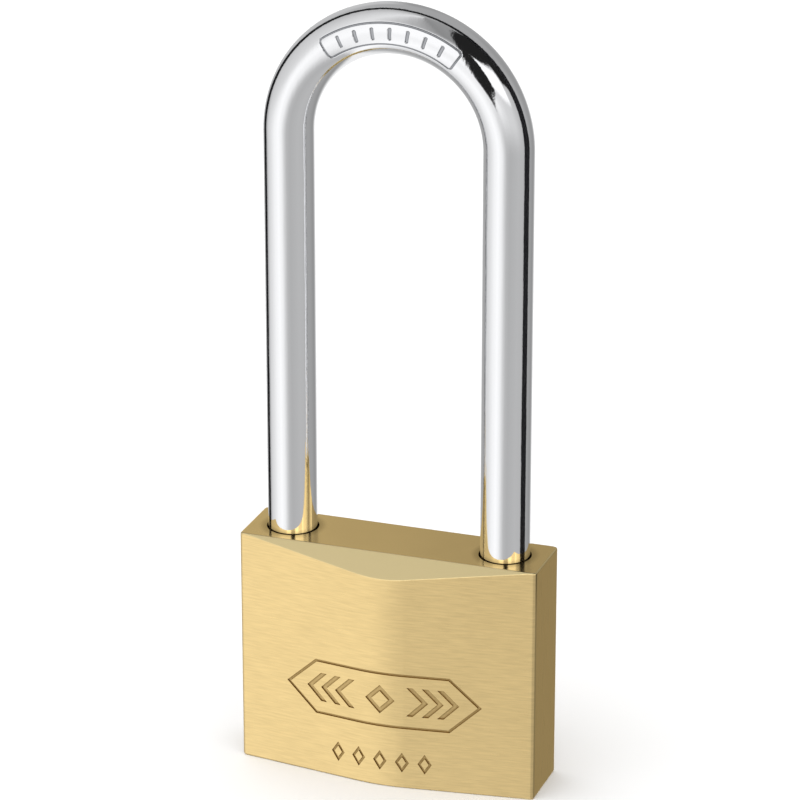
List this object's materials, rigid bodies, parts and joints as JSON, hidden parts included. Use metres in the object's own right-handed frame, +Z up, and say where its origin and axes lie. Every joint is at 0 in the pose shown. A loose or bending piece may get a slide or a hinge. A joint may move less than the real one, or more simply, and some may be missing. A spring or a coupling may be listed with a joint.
{
  "type": "padlock",
  "caption": "Brass-bodied pin-tumbler padlock with a long hardened U-shaped shackle, keyway in the base and bolts that lock both legs.",
  "frame": {"origin": "middle of the body's flat base", "axes": "+Z up along the shackle's legs, +X across the width toward the long heel leg, -Y the engraved front"},
  "size_m": [0.05, 0.0178, 0.1282],
  "materials": {
    "body_brass": "satin brushed faces, plain engraved ornament",
    "plug_brass": "turned",
    "pin_brass": "turned",
    "shackle_chrome": "bright plated, polished",
    "bolt_steel": "turned and milled",
    "spring_steel": "drawn wire",
    "pin_steel": "ground, end dressed flush"
  },
  "bodies": {
    "case": {"lock_body": "body_brass", "bolt_channel_plug": "plug_brass", "shackle_retaining_pin": "pin_steel", "plug_retaining_pin": "pin_steel", "shackle_spring": "spring_steel", "bolt_spring_left": "spring_steel", "bolt_spring_right": "spring_steel", "chamber_plug_1": "plug_brass", "chamber_plug_2": "plug_brass", "chamber_plug_3": "plug_brass", "chamber_plug_4": "plug_brass", "chamber_plug_5": "plug_brass", "pin_spring_1": "spring_steel", "pin_spring_2": "spring_steel", "pin_spring_3": "spring_steel", "pin_spring_4": "spring_steel", "pin_spring_5": "spring_steel"},
    "shackle": {"shackle": "shackle_chrome"},
    "plug": {"cylinder_plug": "plug_brass", "plug_cam": "bolt_steel"},
    "bolt_left": {"locking_bolt_left": "bolt_steel"},
    "bolt_right": {"locking_bolt_right": "bolt_steel"},
    "key_pin_1": {"key_pin_1": "pin_brass"},
    "driver_pin_1": {"driver_pin_1": "pin_brass"},
    "key_pin_2": {"key_pin_2": "pin_brass"},
    "driver_pin_2": {"driver_pin_2": "pin_brass"},
    "key_pin_3": {"key_pin_3": "pin_brass"},
    "driver_pin_3": {"driver_pin_3": "pin_brass"},
    "key_pin_4": {"key_pin_4": "pin_brass"},
    "driver_pin_4": {"driver_pin_4": "pin_brass"},
    "key_pin_5": {"key_pin_5": "pin_brass"},
    "driver_pin_5": {"driver_pin_5": "pin_brass"}
  },
  "joints": [
    {"name": "shackle_lift", "type": "slide", "parent": "case", "child": "shackle", "axis": [0, 0, 1], "range_m": [0, 0.014], "deforming": ["shackle_spring"]},
    {"name": "plug_turn", "type": "hinge", "parent": "case", "child": "plug", "pos_m": [0, 0, 0.012], "axis": [0, 0, 1], "range_deg": [-90, 0]},
    {"name": "bolt_left_slide", "type": "slide", "parent": "case", "child": "bolt_left", "axis": [1, 0, 0], "range_m": [-0.0018, 0], "deforming": ["bolt_spring_left"]},
    {"name": "bolt_right_slide", "type": "slide", "parent": "case", "child": "bolt_right", "axis": [-1, 0, 0], "range_m": [-0.0018, 0], "deforming": ["bolt_spring_right"]},
    {"name": "key_pin_1_slide", "type": "slide", "parent": "plug", "child": "key_pin_1", "axis": [0, -1, 0], "range_m": [-0.0017, 0]},
    {"name": "driver_pin_1_slide", "type": "slide", "parent": "case", "child": "driver_pin_1", "axis": [-1, 0, 0], "range_m": [0, 0.0025], "stiffness_N_per_m": 100, "deforming": ["pin_spring_1"]},
    {"name": "key_pin_2_slide", "type": "slide", "parent": "plug", "child": "key_pin_2", "axis": [0, -1, 0], "range_m": [-0.0008, 0]},
    {"name": "driver_pin_2_slide", "type": "slide", "parent": "case", "child": "driver_pin_2", "axis": [-1, 0, 0], "range_m": [0, 0.0025], "stiffness_N_per_m": 100, "deforming": ["pin_spring_2"]},
    {"name": "key_pin_3_slide", "type": "slide", "parent": "plug", "child": "key_pin_3", "axis": [0, -1, 0], "range_m": [-0.0021, 0]},
    {"name": "driver_pin_3_slide", "type": "slide", "parent": "case", "child": "driver_pin_3", "axis": [-1, 0, 0], "range_m": [0, 0.0025], "stiffness_N_per_m": 100, "deforming": ["pin_spring_3"]},
    {"name": "key_pin_4_slide", "type": "slide", "parent": "plug", "child": "key_pin_4", "axis": [0, -1, 0], "range_m": [-0.0013, 0]},
    {"name": "driver_pin_4_slide", "type": "slide", "parent": "case", "child": "driver_pin_4", "axis": [-1, 0, 0], "range_m": [0, 0.0025], "stiffness_N_per_m": 100, "deforming": ["pin_spring_4"]},
    {"name": "key_pin_5_slide", "type": "slide", "parent": "plug", "child": "key_pin_5", "axis": [0, -1, 0], "range_m": [-0.0005, 0]},
    {"name": "driver_pin_5_slide", "type": "slide", "parent": "case", "child": "driver_pin_5", "axis": [-1, 0, 0], "range_m": [0, 0.0025], "stiffness_N_per_m": 100, "deforming": ["pin_spring_5"]}
  ],
  "couplings": [
    {"joint": "plug_turn", "follows": "bolt_left_slide", "rad_per_m": 872.66},
    {"joint": "bolt_right_slide", "follows": "bolt_left_slide", "ratio": 1}
  ]
}
